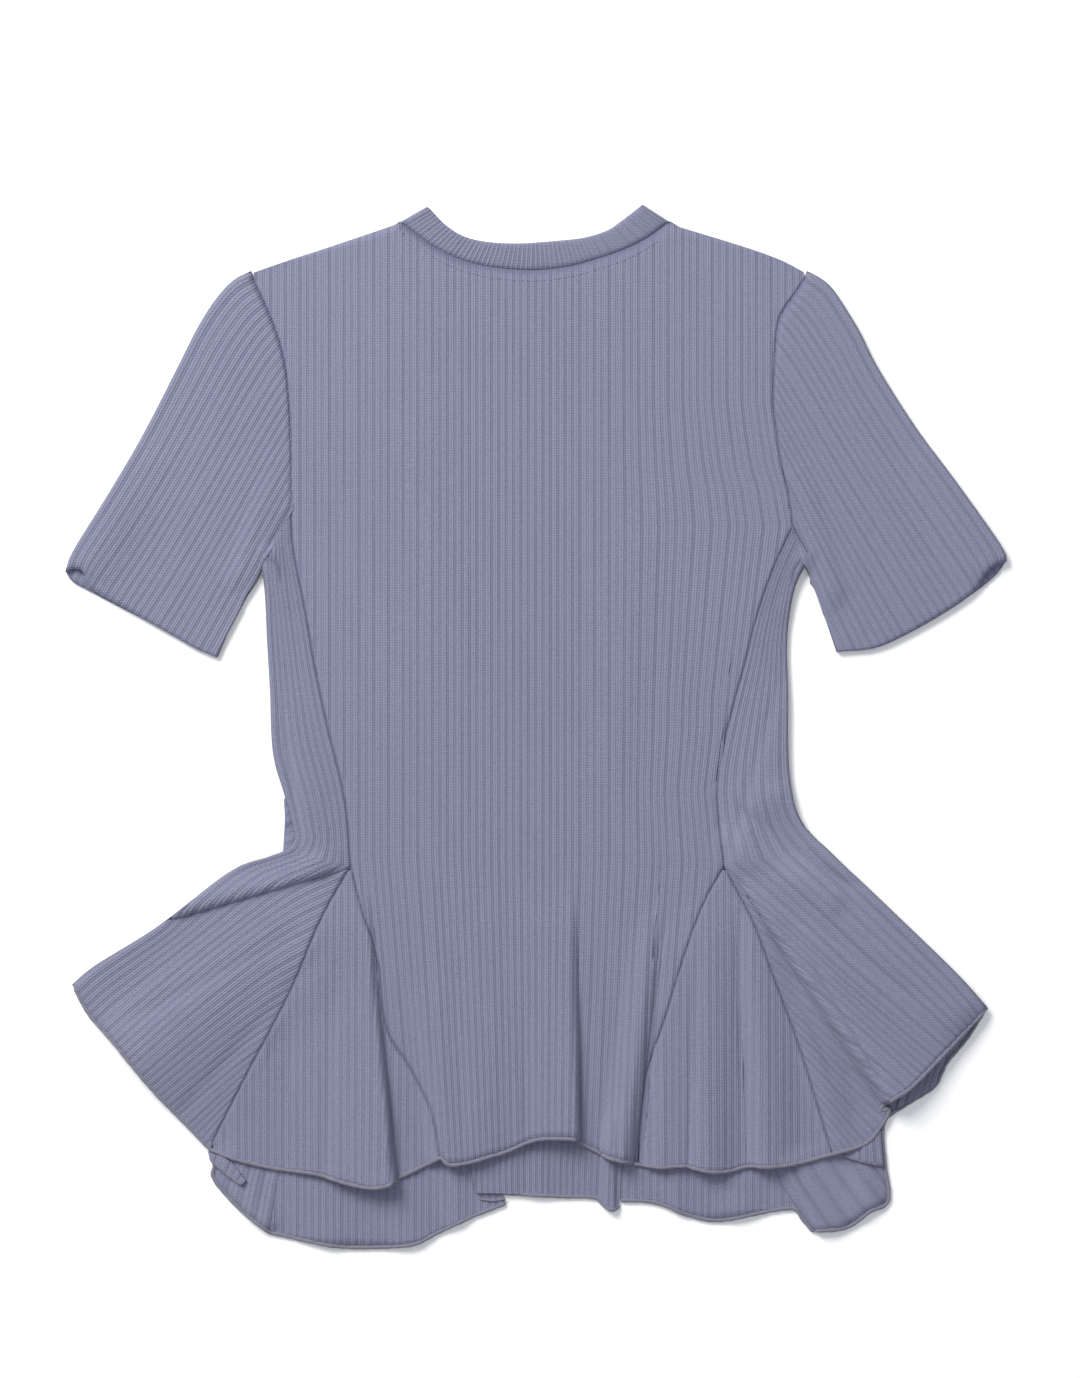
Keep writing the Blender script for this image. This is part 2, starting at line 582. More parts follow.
def edge_turn(x: np.ndarray, y: np.ndarray, out: np.ndarray, rise: float = 0.0) -> Sheet:
    """The turn of a folded edge from the upper layer to the lower: half an ellipse standing on edge."""
    angles = np.radians(np.array((66.0, 40.0, 14.0, -14.0, -40.0, -66.0)))
    top = (CLOTH.upper(x, y) + WALL + rise)[:, None]
    floor = CLOTH.lower(x, y)[:, None]
    middle, half = (top + floor) / 2.0, (top - floor) / 2.0
    cos, sin = np.cos(angles)[None], np.sin(angles)[None]
    hollow = EDGE_HOLLOW / UNIT
    x2, y2 = x[:, None], y[:, None]
    outer = place(x2 + out[:, :1] * REACH * cos, y2 + out[:, 1:] * REACH * cos, middle + half * sin)
    inner = place(x2 + out[:, :1] * hollow * cos, y2 + out[:, 1:] * hollow * cos,
                  middle + (half - WALL) * sin)
    uv = np.stack([0.0 * outer[..., 0], outer[..., 1]], axis=-1)
    return Sheet(inner, outer, uv, np.full(uv.shape[:2], 0.15))


def beside(*sheets: Sheet) -> Sheet:
    """Sheets with the same rows, joined side by side."""
    return Sheet(*(np.concatenate([getattr(s, name) for s in sheets], axis=1)
                   for name in ("inner", "outer", "cloth_uv", "shade")))


def turned(sheet: Sheet) -> Sheet:
    """The sheet with its columns in the other order."""
    return Sheet(*(getattr(sheet, name)[:, ::-1] for name in ("inner", "outer", "cloth_uv", "shade")))


def grid_faces(rows: int, columns: int, closed: bool) -> np.ndarray:
    """Corner numbers of a grid's quads; a closed grid's last column meets its first."""
    number = np.arange(rows * columns).reshape(rows, columns)
    if closed:
        number = np.concatenate([number, number[:, :1]], axis=1)
    return np.stack([number[:-1, :-1], number[:-1, 1:], number[1:, 1:], number[1:, :-1]], axis=-1).reshape(-1, 4)


def shell(name: str, sheets: list[Sheet], closed: bool = False) -> bpy.types.Object:
    """A closed cloth shell from sheets that share the points of their common edges.

    The outer side's quads, the inner side's in reverse and a rim wherever an edge has one quad
    only are put in one mesh, with the cloth's own UV map and a shade attribute.

    Args:
        name: the piece's name.
        sheets: the stretches of cloth.
        closed: whether each sheet goes all round, as a tube.

    Returns:
        The new object.
    """
    inner = np.concatenate([s.inner.reshape(-1, 3) for s in sheets])
    outer = np.concatenate([s.outer.reshape(-1, 3) for s in sheets])
    uv = np.concatenate([s.cloth_uv.reshape(-1, 2) for s in sheets])
    shade = np.concatenate([s.shade.reshape(-1) for s in sheets])
    keys = np.round(inner * 1e7).astype(np.int64)
    _, first, index = np.unique(keys, axis=0, return_index=True, return_inverse=True)
    index = index.reshape(-1)
    quads, start = [], 0
    for s in sheets:
        rows, columns = s.inner.shape[:2]
        quads.append(index[grid_faces(rows, columns, closed) + start])
        start += rows * columns
    quads = np.concatenate(quads)
    quads = quads[(quads != np.roll(quads, 1, axis=1)).all(axis=1)]
    count = len(first)
    inner, outer, uv, shade = inner[first], outer[first], uv[first], shade[first]
    edges = np.stack([quads, np.roll(quads, -1, axis=1)], axis=-1).reshape(-1, 2)
    _, at, uses = np.unique(np.sort(edges, axis=1), axis=0, return_index=True, return_counts=True)
    rim = edges[at[uses == 1]]
    rim_faces = np.stack([rim[:, 1], rim[:, 0], rim[:, 0] + count, rim[:, 1] + count], axis=-1)
    faces = np.concatenate([quads, quads[:, ::-1] + count, rim_faces])
    points = np.concatenate([outer, inner])
    volume = signed_volume(points, faces)
    if volume < 0.0:
        faces = faces[:, ::-1]
    return make_mesh(name, points, faces, np.concatenate([uv, uv]), np.concatenate([shade, shade]))


def signed_volume(points: np.ndarray, quads: np.ndarray) -> float:
    """Volume inside a closed mesh of quads: a sum of pyramids over its triangles."""
    a, b, c, d = (points[quads[:, k]] for k in range(4))
    return float((a * np.cross(b, c)).sum() + (a * np.cross(c, d)).sum())


def make_mesh(name: str, points: np.ndarray, quads: np.ndarray, uv: np.ndarray,
              shade: np.ndarray) -> bpy.types.Object:
    """A smooth object from arrays, with UV map cloth and point attribute shade."""
    mesh = bpy.data.meshes.new(name)
    mesh.vertices.add(len(points))
    mesh.vertices.foreach_set("co", points.astype(np.float32).ravel())
    mesh.loops.add(quads.size)
    mesh.loops.foreach_set("vertex_index", quads.astype(np.int32).ravel())
    mesh.polygons.add(len(quads))
    mesh.polygons.foreach_set("loop_start", np.arange(0, quads.size, 4, dtype=np.int32))
    mesh.polygons.foreach_set("use_smooth", np.ones(len(quads), bool))
    mesh.update(calc_edges=True)
    layer = mesh.uv_layers.new(name="cloth")
    layer.data.foreach_set("uv", uv[quads.ravel()].astype(np.float32).ravel())
    mark = mesh.attributes.new("shade", "FLOAT", "POINT")
    mark.data.foreach_set("value", shade.astype(np.float32))
    mesh.validate()
    item = bpy.data.objects.new(name, mesh)
    bpy.context.scene.collection.objects.link(item)
    return item


def rib_columns(left: float, right: float) -> np.ndarray:
    """Column places between two edges, closer together in the grooves."""
    ribs = np.arange(np.floor(left / PITCH) - 1, np.ceil(right / PITCH) + 2)
    places = ((ribs[:, None] + np.array(RIB_STOPS)[None]) * PITCH).ravel()
    places = places[(places > left + 0.2) & (places < right - 0.2)]
    return np.concatenate([[left], places, [right]])


def rib_shares(ribs: int) -> np.ndarray:
    """Phases of the columns across a whole number of ribs."""
    stops = (np.arange(ribs)[:, None] + 0.5 + np.array(RIB_STOPS)[None]).ravel()
    return np.append(stops, float(ribs))


RIGHT_BOW = line((403, 0), (435, 4.4), (467, 10), (492, 18.1), (526, 24), (600, 14), (700, 0), (731, -1),
                 (790, -10.5), (866, 0))


def bow(x: np.ndarray, y: np.ndarray) -> np.ndarray:
    """Sideways bend of the ribs near the right edge: out beside the armhole and in at the waist."""
    return x_at(RIGHT_BOW[:, ::-1], y) * smooth_step((x - 600.0) / 173.5)


def fan(x: np.ndarray, y: np.ndarray) -> np.ndarray:
    """The back's ribs close up a little below the waist."""
    close = 1.0 - FAN_CLOSE * np.clip((y - WAIST_Y) / (HEM_Y - WAIST_Y), 0.0, 1.2)
    return FAN_MIDDLE + (x - FAN_MIDDLE) * close + bow(x, y)


def column_bottom(columns: np.ndarray, top: np.ndarray, left: Path, right: Path, hem: Path,
                  inset: float) -> np.ndarray:
    """The first place down each rib where it leaves the panel."""
    y = np.linspace(0.0, 1.0, 1800)[:, None] * (1215.0 - top) + top
    x = fan(columns[None, :], y)
    outside = (x < x_at(left, y) + inset) & (y > left[0, 1]) | (x > x_at(right, y) - inset) & (y > right[0, 1])
    outside |= y > y_at(hem, x)
    outside[-1] = True
    return y[outside.argmax(axis=0), np.arange(len(columns))]


def rows_down(top: np.ndarray, bottom: np.ndarray, share: np.ndarray) -> np.ndarray:
    """Places down each column, level with its neighbours' until near the edge that ends it.

    Args:
        top: where each column starts.
        bottom: where each column ends.
        share: places along a column, from 0 to 1.

    Returns:
        A grid of y places, a row for each share.
    """
    level = np.convolve(np.pad(bottom, 9, "edge"), np.full(19, 1.0 / 19.0), "valid")
    level = bottom + (level - bottom) * np.clip((bottom - top - 150.0) / 200.0, 0.0, 1.0)
    share = share[:, None]
    return top + (level - top) * share + (bottom - level) * share ** 3


def srgb(code: str) -> tuple[float, float, float, float]:
    """A hex colour as linear values, by the sRGB curve."""
    parts = np.array([int(code[k:k + 2], 16) / 255.0 for k in (1, 3, 5)])
    linear = np.where(parts <= 0.04045, parts / 12.92, ((parts + 0.055) / 1.055) ** 2.4)
    return (*linear.tolist(), 1.0)


def add_node(tree: bpy.types.NodeTree, kind: str, settings: dict, links: dict) -> bpy.types.Node:
    """A node with its settings and links.

    Args:
        tree: the material's node tree.
        kind: the node's type name.
        settings: attribute names, or input numbers and names, with their values.
        links: input numbers or names, with the output socket that feeds each.

    Returns:
        The new node.
    """
    node = tree.nodes.new(kind)
    for key, value in settings.items():
        if isinstance(key, str) and hasattr(node, key):
            setattr(node, key, value)
        else:
            node.inputs[key].default_value = value
    for key, socket in links.items():
        tree.links.new(socket, node.inputs[key])
    return node


@dataclass(frozen=True)
class RibKnitJersey:
    """Rib-knit viscose and elastane jersey, soft and matt with a faint bloom of fibre.

    Viscose yarn is smooth but finely hairy, which gives a low sheen at grazing light and a
    slightly marled colour. Courses and wales are drawn 1.1 and 1.6 mm apart, as they show.
    """

    name: str
    base: str = "#7b7d91"
    deep: str = "#5d5f82"
    light: str = "#87889a"
    course: float = 0.0011
    wales_per_rib: float = 3.0
    roughness: float = 0.88
    stitch_depth: float = 0.00016

    def material(self) -> bpy.types.Material:
        """Build the node tree."""
        material = bpy.data.materials.new(self.name)
        material.use_nodes = True
        tree = material.node_tree
        shader = tree.nodes["Principled BSDF"]
        place_of = add_node(tree, "ShaderNodeTexCoord", {}, {})
        own = add_node(tree, "ShaderNodeUVMap", {"uv_map": "cloth"}, {})
        split = add_node(tree, "ShaderNodeSeparateXYZ", {}, {0: own.outputs[0]})
        wander = add_node(tree, "ShaderNodeTexNoise", {"Scale": 260.0, "Detail": 2.0},
                          {"Vector": place_of.outputs["Object"]})
        course = add_node(tree, "ShaderNodeMath", {"operation": "MULTIPLY_ADD", 1: 6.2832 / self.course},
                          {0: split.outputs["Y"], 2: add_node(tree, "ShaderNodeMath", {
                              "operation": "MULTIPLY", 1: 5.0}, {0: wander.outputs[0]}).outputs[0]})
        rows = add_node(tree, "ShaderNodeMath", {"operation": "SINE"}, {0: course.outputs[0]})
        wale = add_node(tree, "ShaderNodeMath", {
            "operation": "MULTIPLY", 1: 6.2832 * self.wales_per_rib / RIB_PITCH}, {0: split.outputs["X"]})
        columns = add_node(tree, "ShaderNodeMath", {"operation": "COSINE"}, {0: wale.outputs[0]})
        stitch = add_node(tree, "ShaderNodeMath", {"operation": "MULTIPLY_ADD", 1: 0.55},
                          {0: rows.outputs[0], 2: columns.outputs[0]})
        fibre = add_node(tree, "ShaderNodeTexNoise", {"Scale": 1500.0, "Detail": 3.0, "Roughness": 0.7},
                         {"Vector": place_of.outputs["Object"]})
        height = add_node(tree, "ShaderNodeMath", {"operation": "MULTIPLY_ADD", 1: 1.3},
                          {0: fibre.outputs[0], 2: stitch.outputs[0]})
        bump = add_node(tree, "ShaderNodeBump", {"Strength": 0.8, "Distance": self.stitch_depth},
                        {"Height": height.outputs[0]})
        shade = add_node(tree, "ShaderNodeAttribute", {"attribute_name": "shade"}, {})
        patch = add_node(tree, "ShaderNodeTexNoise", {"Scale": 9.0, "Detail": 3.0},
                         {"Vector": place_of.outputs["Object"]})
        marl = add_node(tree, "ShaderNodeTexNoise", {"Scale": 1250.0, "Detail": 2.0, "Roughness": 0.7},
                        {"Vector": place_of.outputs["Object"]})
        light = add_node(tree, "ShaderNodeMath", {"operation": "MULTIPLY_ADD", 1: 0.5, 2: -0.02},
                         {0: patch.outputs[0]})
        worn = add_node(tree, "ShaderNodeMix", {"data_type": "RGBA", "clamp_factor": True,
                                                6: srgb(self.base), 7: srgb(self.light)},
                        {0: light.outputs[0]})
        speck = add_node(tree, "ShaderNodeMath", {"operation": "MULTIPLY_ADD", 1: 2.2, 2: -0.9, "use_clamp": True},
                         {0: marl.outputs[0]})
        marled = add_node(tree, "ShaderNodeMix", {"data_type": "RGBA", "clamp_factor": True, 7: srgb(self.deep)},
                          {0: speck.outputs[0], 6: worn.outputs[2]})
        sunk = add_node(tree, "ShaderNodeMath", {"operation": "MULTIPLY", 1: 0.84}, {0: shade.outputs["Fac"]})
        grooved = add_node(tree, "ShaderNodeMix", {"data_type": "RGBA", "clamp_factor": True, 7: srgb("#4a4b6b")},
                           {0: sunk.outputs[0], 6: marled.outputs[2]})
        tree.links.new(grooved.outputs[2], shader.inputs["Base Color"])
        tree.links.new(bump.outputs[0], shader.inputs["Normal"])
        shader.inputs["Roughness"].default_value = self.roughness
        shader.inputs["Specular IOR Level"].default_value = 0.25
        shader.inputs["Sheen Weight"].default_value = 0.18
        shader.inputs["Sheen Roughness"].default_value = 0.5
        return material


@dataclass(frozen=True)
class SpunThread:
    """Spun polyester sewing and overlock thread, matt with a faint twist along it."""

    name: str
    base: str = "#7f7e8c"
    twist: float = 0.0012

    def material(self) -> bpy.types.Material:
        """Build the node tree."""
        material = bpy.data.materials.new(self.name)
        material.use_nodes = True
        tree = material.node_tree
        shader = tree.nodes["Principled BSDF"]
        own = add_node(tree, "ShaderNodeUVMap", {"uv_map": "cloth"}, {})
        split = add_node(tree, "ShaderNodeSeparateXYZ", {}, {0: own.outputs[0]})
        lean = add_node(tree, "ShaderNodeMath", {"operation": "ADD"},
                        {0: split.outputs["X"], 1: split.outputs["Y"]})
        turn = add_node(tree, "ShaderNodeMath", {"operation": "MULTIPLY", 1: 6.2832 / self.twist},
                        {0: lean.outputs[0]})
        wave = add_node(tree, "ShaderNodeMath", {"operation": "SINE"}, {0: turn.outputs[0]})
        tone = add_node(tree, "ShaderNodeMath", {"operation": "MULTIPLY_ADD", 1: 0.22, 2: 0.25},
                        {0: wave.outputs[0]})
        colour = add_node(tree, "ShaderNodeMix", {"data_type": "RGBA", 6: srgb(self.base), 7: srgb("#6d6d84")},
                          {0: tone.outputs[0]})
        bump = add_node(tree, "ShaderNodeBump", {"Strength": 0.7, "Distance": 0.0003},
                        {"Height": wave.outputs[0]})
        tree.links.new(colour.outputs[2], shader.inputs["Base Color"])
        tree.links.new(bump.outputs[0], shader.inputs["Normal"])
        shader.inputs["Roughness"].default_value = 0.85
        shader.inputs["Sheen Weight"].default_value = 0.1
        return material


@dataclass
class Wardrobe:
    """The top's finishes, made once and shared, and the way a piece is entered in the table."""

    body: bpy.types.Material = field(default_factory=lambda: RibKnitJersey("rib_knit_jersey").material())
    band: bpy.types.Material = field(default_factory=lambda: RibKnitJersey(
        "neckband_rib_knit", base="#787a8e", course=0.001, wales_per_rib=2.0).material())
    thread: bpy.types.Material = field(default_factory=lambda: SpunThread("overlock_thread").material())

    def dress(self, piece: bpy.types.Object, node: str | None,
              band: bool = False) -> None:
        """Give a cloth piece its finish, body, slot and cut, and hide the solid that it stands for."""
        piece.data.materials.append(self.band if band else self.body)
        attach(piece, "root")
        if node:
            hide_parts(node)
        LOG.info("%s: %d faces", piece.name, len(piece.data.polygons))

    def trim(self, piece: bpy.types.Object) -> None:
        """Give a thread piece its finish, body and slot."""
        piece.data.materials.append(self.thread)
        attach(piece, "root")
        LOG.info("%s: %d faces", piece.name, len(piece.data.polygons))


@dataclass
class BackPanel:
    """The back's middle panel, whose ribs run from neck and shoulders to armholes, seams and hem."""

    rows: int = 104

    def sheets(self) -> list[Sheet]:
        """The panel's cloth: columns along its ribs, each ended where it meets an edge."""
        left = join(CUT.armhole_left, CUT.princess_left, CUT.godet_left_middle)
        right = join(CUT.armhole_right, CUT.princess_right, CUT.godet_right_middle)
        neck = np.concatenate([CUT.shoulder_left, CUT.neck_seam, CUT.shoulder_right])
        columns = rib_columns(254.5, 803.5)
        top = y_at(neck, columns) - 0.4
        bottom = column_bottom(columns, top, left, right, CUT.hem_middle, -SEAM_LAP)
        y = rows_down(top, bottom, np.linspace(0.0, 1.0, self.rows))
        base = np.broadcast_to(columns, y.shape)
        seams = (Seam(left), Seam(right), Seam(CUT.neck_seam, 1.0, 2.2), Seam(TOPSTITCH, 0.3, 1.6))
        return [lay(fan(base, y), y, Layer.UPPER, base / PITCH, BODY_RIB, seams)]

    def build(self, wardrobe: Wardrobe) -> None:
        """Make the panel and enter it."""
        sheets = self.sheets()
        wardrobe.dress(shell("back_panel", sheets), "back_centre")


@dataclass
class FrontPanel:
    """The front's middle panel, which lies beneath and shows only along its hem."""

    rows: int = 60

    def sheets(self) -> list[Sheet]:
        """The panel's cloth, with its rows closer together where the hem shows."""
        left = join(CUT.armhole_left, CUT.princess_left, CUT.front_middle_seam_left)
        right = join(CUT.armhole_right, CUT.princess_right, CUT.front_middle_seam_right)
        neck = np.concatenate([CUT.shoulder_left, CUT.front_neck_seam, CUT.shoulder_right])
        columns = rib_columns(257.0, 801.0)
        top = y_at(neck, columns) + 0.8
        bottom = column_bottom(columns, top, left, right, CUT.front_hem_middle, -SEAM_LAP)
        share = 1.0 - (1.0 - np.linspace(0.0, 1.0, self.rows)) ** 1.7
        y = rows_down(top, bottom, share)
        base = np.broadcast_to(columns, y.shape)
        x = fan(base, y)
        over = smooth_step((y - 1095.0) / 40.0) * (1.0 - smooth_step((x - 510.0) / 18.0))
        return [lay(x, y, Layer.LOWER, base / PITCH, BODY_RIB, raised=(WALL + LAYER_GAP) * over)]

    def build(self, wardrobe: Wardrobe) -> None:
        """Make the panel and enter it."""
        sheets = self.sheets()
        wardrobe.dress(shell("front_panel", sheets), "front_centre")


@dataclass
class Godet:
    """A triangular gusset of the peplum, with upright ribs from its two seams to the hem."""

    name: str
    node: str
    layer: Layer
    seams: tuple[Path, Path]
    hem: Path
    cut: tuple[float, float]
    rests_on: list[str]
    rows: int = 54

    def sheets(self) -> list[Sheet]:
        """The gusset's cloth: each column starts on a seam and ends on the hem."""
        left, right = sorted(self.seams, key=lambda seam: seam[-1, 0])
        inset = -SEAM_LAP
        edges = np.concatenate([(left + (inset, 0.0))[::-1][:-1], [[left[0, 0], left[0, 1] + 4.0]],
                                (right - (inset, 0.0))[1:]])
        columns = rib_columns(edges[0, 0] + 1.2, edges[-1, 0] - 1.2)
        top = y_at(edges, columns)
        bottom = np.maximum(y_at(self.hem, columns), top + 1.5)
        y = top + (bottom - top) * np.linspace(0.0, 1.0, self.rows)[:, None]
        base = np.broadcast_to(columns, y.shape)
        seams = tuple(Seam(seam) for seam in self.seams) if self.layer is Layer.UPPER else ()
        return [lay(base, y, self.layer, base / PITCH + 0.37, GUSSET_RIB, seams)]

    def build(self, wardrobe: Wardrobe) -> None:
        """Make the gusset and enter it."""
        sheets = self.sheets()
        wardrobe.dress(shell(self.name, sheets), self.node)


@dataclass
class SidePanel:
    """A side panel: its back part, the turn round the side edge, its front part and the flared flap."""

    side: Side
    edge: Path
    flap_edge: Path
    princess: Path
    pit: Path
    flap_rib: Path
    flap_hem: Path
    godet_seam: Path
    front_seam: Path
    front_hem: Path
    tucks: list[Sheet]
    torso_rows: int = 56
    flap_rows: int = 44
    edge_ribs: int = 8
    flap_ribs: int = 22

    def sheets(self) -> list[Sheet]:
        """The panel's cloth: a strip of ribs down the side edge, and the flap's ribs fanned from its seam.

        The strip's rows go from the armhole to the hem, straight across between the seam and the edge.
        The flap's columns start on the gusset's seam and end on the hem, and bend with the strip.
        """
        side = self.side.value
        torso = np.linspace(0.0, 1.0, self.torso_rows)
        flap = np.linspace(0.0, 1.0, self.flap_rows)[1:]
        torso_y = self.princess[0, 1] + (self.princess[-1, 1] - self.princess[0, 1]) * torso
        princess = np.stack([x_at(self.princess, torso_y), torso_y], axis=-1) + (-side * SEAM_LAP, 0.0)
        edge = np.concatenate([along(self.edge, torso), along(self.flap_edge, flap)])
        out = outward(edge, side)
        seam = np.concatenate([princess, along(self.flap_rib, flap)])
        inset = edge - REACH * out
        phase = rib_shares(self.edge_ribs)
        width = phase / self.edge_ribs
        shape = inset[:, None, :] + (seam - inset)[:, None, :] * width[:, None]
        fade = np.concatenate([(1.0 - torso) ** 3, np.zeros(len(flap))])[:, None, None]
        top_row = along(self.pit[::-1], width) + (0.0, -SEAM_LAP)
        shift = (top_row - shape[0])[None]
        shift[:, 0] = 0.0
        shape = shape + fade * shift
        hem_at = marks(self.flap_hem)
        corner = hem_at[np.argmin(np.hypot(*(self.flap_hem - seam[-1]).T))]
        hem_row = along(self.flap_hem, corner * width)
        hem_row = hem_row + (seam[-1] - hem_row[-1]) * width[:, None]
        hem_shift = (hem_row - shape[-1])[None]
        hem_shift[:, 0] = 0.0
        settle = np.concatenate([np.zeros(len(torso)), flap])[:, None, None] ** 3
        shape = shape + settle * hem_shift
        godet = along(self.godet_seam, np.linspace(0.0, 1.0, 80))
        crease = getattr(CUT, f"pit_crease_{self.side.name.lower()}")
        seams = (Seam(self.princess), Seam(self.pit, 0.8), Seam(godet), Seam(crease, 0.9, 1.5))
        strip = lay(shape[..., 0], shape[..., 1], Layer.UPPER, np.broadcast_to(phase, shape.shape[:2]),
                    SIDE_RIB, seams)
        turn = edge_turn(inset[:, 0], inset[:, 1], out, 0.0004)
        front_edge = np.concatenate([princess, along(self.front_seam, flap) + (side * -SEAM_LAP, 0.0)])
        spread = np.concatenate([rib_shares(16) / 16.0])
        below = inset[:, None, :] + (front_edge - inset)[:, None, :] * spread[:, None]
        hem_row = along(self.front_hem, spread)
        hem_shift = (hem_row - below[-1])[None]
        hem_shift[:, 0] = 0.0
        hem_shift[:, -1] = 0.0
        settle = np.concatenate([np.zeros(len(torso)), flap])[:, None, None] ** 2
        below = below + settle * hem_shift
        low_shift = (along(self.pit[::-1], spread) + (0.0, -SEAM_LAP) - below[0])[None]
        low_shift[:, 0] = 0.0
        below = below + fade * low_shift
        front = lay(below[..., 0], below[..., 1], Layer.LOWER,
                    np.broadcast_to(rib_shares(16), below.shape[:2]), SIDE_RIB)
        wrap = beside(turned(strip), turn, front)
        return [wrap, turned(self.flap(shape[self.torso_rows - 1:, -1], seams))] + self.tucks

    def flap(self, first_column: np.ndarray, seams: tuple[Seam, ...]) -> Sheet:
        """The flared part beside the gusset: straight ribs bent by what is left of the strip's bend."""
        side = self.side.value
        phase = rib_shares(self.flap_ribs)
        share = phase / self.flap_ribs
        starts = along(self.godet_seam, 0.965 * share) + (side * -SEAM_LAP, 0.0)
        hem_at = marks(self.flap_hem)
        first = hem_at[np.argmin(np.hypot(*(self.flap_hem - first_column[-1]).T))]
        ends = along(self.flap_hem, first + (1.0 - first) * share)
        ends[-1] += (side * -SEAM_LAP, 0.0)
        starts = starts + (first_column[0] - starts[0]) * (1.0 - share[:, None]) ** 4
        ends = ends + (first_column[-1] - ends[0]) * (1.0 - share[:, None]) ** 4
        rows = np.linspace(0.0, 1.0, len(first_column))[:, None, None]
        straight = starts[None] + (ends - starts)[None] * rows
        bend = (first_column - straight[:, 0])[:, None, :]
        shape = straight + bend * (1.0 - share)[None, :, None] ** 2
        return lay(shape[..., 0], shape[..., 1], Layer.UPPER,
                   self.edge_ribs + np.broadcast_to(phase, shape.shape[:2]), SIDE_RIB, seams)

    def build(self, wardrobe: Wardrobe) -> None:
        """Make the panel and enter it."""
        sheets = self.sheets()
        name = self.side.name.lower()
        wardrobe.dress(shell(f"side_panel_{name}", sheets), f"side_{name}")


@dataclass
class Sleeve:
    """A short set-in sleeve pressed flat: one tube, with ribs along it cut by the armhole."""

    side: Side
    top: Path
    under: Path
    cuff: Path
    cuff_under: Path
    armhole: Path
    pit: Path
    ribs: int = 23
    rows: int = 56

    def sheets(self) -> list[Sheet]:
        """The sleeve's cloth: a four-edged patch above and below, and the turns between.

        Ribs run straight from seam to cuff and follow the two long edges only close to them. Along the
        armhole the ribs are spaced by how far they lie from the upper edge.
        """
        side = self.side.value
        start = join(self.armhole, self.pit) + (-side * SEAM_LAP, 0.0)
        start[0], start[-1] = self.top[0], self.under[0]
        phase = rib_shares(self.ribs)
        around, down = phase / self.ribs, np.linspace(0.0, 1.0, self.rows)
        run = self.top[-1] - self.top[0]
        run = run / np.hypot(*run)
        away = np.abs((start[:, 0] - start[0, 0]) * run[1] - (start[:, 1] - start[0, 1]) * run[0])
        away = np.maximum.accumulate(away) + 0.02 * marks(start) * away.max()
        seam = np.stack([np.interp(around, away / away[-1], start[:, k]) for k in (0, 1)], axis=-1)
        u, v = around[None, :, None], down[:, None, None]
        top, under = along(self.top, down)[:, None], along(self.under, down)[:, None]
        end = along(self.cuff_under, around)[None]
        bulge = top - (1 - v) * self.top[0] - v * self.top[-1]
        hollow = under - (1 - v) * self.under[0] - v * self.under[-1]
        shape = (1 - v) * seam[None] + v * end + (1 - u) ** 3 * bulge + u ** 3 * hollow
        run_top, run_under = shape[:, 0], shape[:, -1]
        out_top, out_under = outward(run_top, side), outward(run_under, -side)
        shape = shape - REACH * out_top[:, None] * (1.0 - around)[None, :, None] ** 12
        shape = shape - REACH * out_under[:, None] * around[None, :, None] ** 12
        rings = np.broadcast_to(phase, shape.shape[:2])
        plain = shape[:, ::-3]
        drawn_up = (along(self.cuff, around) - along(self.cuff_under, around))[None]
        drawn_up[:, 0] = 0.0
        drawn_up[:, -1] = 0.0
        shape = shape + v ** 6 * drawn_up
        upper = lay(shape[..., 0], shape[..., 1], Layer.UPPER, rings, SLEEVE_RIB,
                    (Seam(join(self.armhole, self.pit)), Seam(self.cuff, 0.25, 2.5)))
        lower = lay(plain[..., 0], plain[..., 1], Layer.LOWER, rings[:, ::-3], SLEEVE_RIB)
        turn_under = edge_turn(shape[:, -1, 0], shape[:, -1, 1], out_under, 0.0004)
        turn_top = turned(edge_turn(shape[:, 0, 0], shape[:, 0, 1], out_top, 0.0004))
        return [beside(upper, turn_under, lower, turn_top)]

    def build(self, wardrobe: Wardrobe) -> None:
        """Make the sleeve and enter it."""
        sheets = self.sheets()
        name = self.side.name.lower()
        wardrobe.dress(shell(f"sleeve_{name}_cloth", sheets, True), f"sleeve_{name}")


